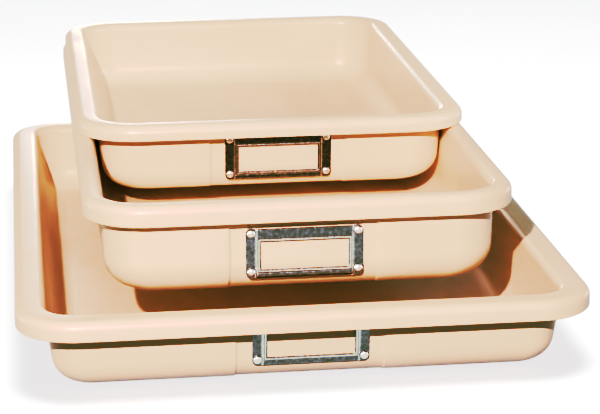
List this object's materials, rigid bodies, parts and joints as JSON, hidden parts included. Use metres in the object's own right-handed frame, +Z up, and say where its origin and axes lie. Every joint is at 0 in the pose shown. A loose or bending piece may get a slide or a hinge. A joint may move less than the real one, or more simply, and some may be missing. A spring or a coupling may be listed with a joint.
{
  "type": "nesting sample pan set",
  "caption": "Stack of rectangular moulded sample pans in graded sizes, with rounded turned-down rims and a riveted metal label holder on each front wall.",
  "frame": {"origin": "middle of the stack's footprint on the ground, under the large pan's base plane", "axes": "+X to the right seen from the label holders, +Y from the label holders to the back, along the pans' length, +Z up"},
  "size_m": [0.457, 0.72, 0.16],
  "materials": {
    "pan_shell": "smooth moulded glass-fibre resin, semi-gloss, cream",
    "holder_plate": "pressed steel, dark nickel plate",
    "rivet_metal": "bright domed head",
    "washer_metal": "zinc plated"
  },
  "bodies": {
    "large": {"large_pan": "pan_shell", "label_holder_large": "holder_plate", "rivet_large_upper_left": "rivet_metal", "washer_large_upper_left": "washer_metal", "rivet_large_upper_right": "rivet_metal", "washer_large_upper_right": "washer_metal", "rivet_large_lower_left": "rivet_metal", "washer_large_lower_left": "washer_metal", "rivet_large_lower_right": "rivet_metal", "washer_large_lower_right": "washer_metal"},
    "medium": {"medium_pan": "pan_shell", "label_holder_medium": "holder_plate", "rivet_medium_upper_left": "rivet_metal", "washer_medium_upper_left": "washer_metal", "rivet_medium_upper_right": "rivet_metal", "washer_medium_upper_right": "washer_metal", "rivet_medium_lower_left": "rivet_metal", "washer_medium_lower_left": "washer_metal", "rivet_medium_lower_right": "rivet_metal", "washer_medium_lower_right": "washer_metal"},
    "small": {"small_pan": "pan_shell", "label_holder_small": "holder_plate", "rivet_small_upper_left": "rivet_metal", "washer_small_upper_left": "washer_metal", "rivet_small_upper_right": "rivet_metal", "washer_small_upper_right": "washer_metal", "rivet_small_lower_left": "rivet_metal", "washer_small_lower_left": "washer_metal", "rivet_small_lower_right": "rivet_metal", "washer_small_lower_right": "washer_metal"}
  },
  "joints": [
    {"name": "medium_lift", "type": "slide", "parent": "large", "child": "medium", "axis": [0, 0, 1], "range_m": [0, 0.12]},
    {"name": "small_lift", "type": "slide", "parent": "medium", "child": "small", "axis": [0, 0, 1], "range_m": [0, 0.12]}
  ]
}
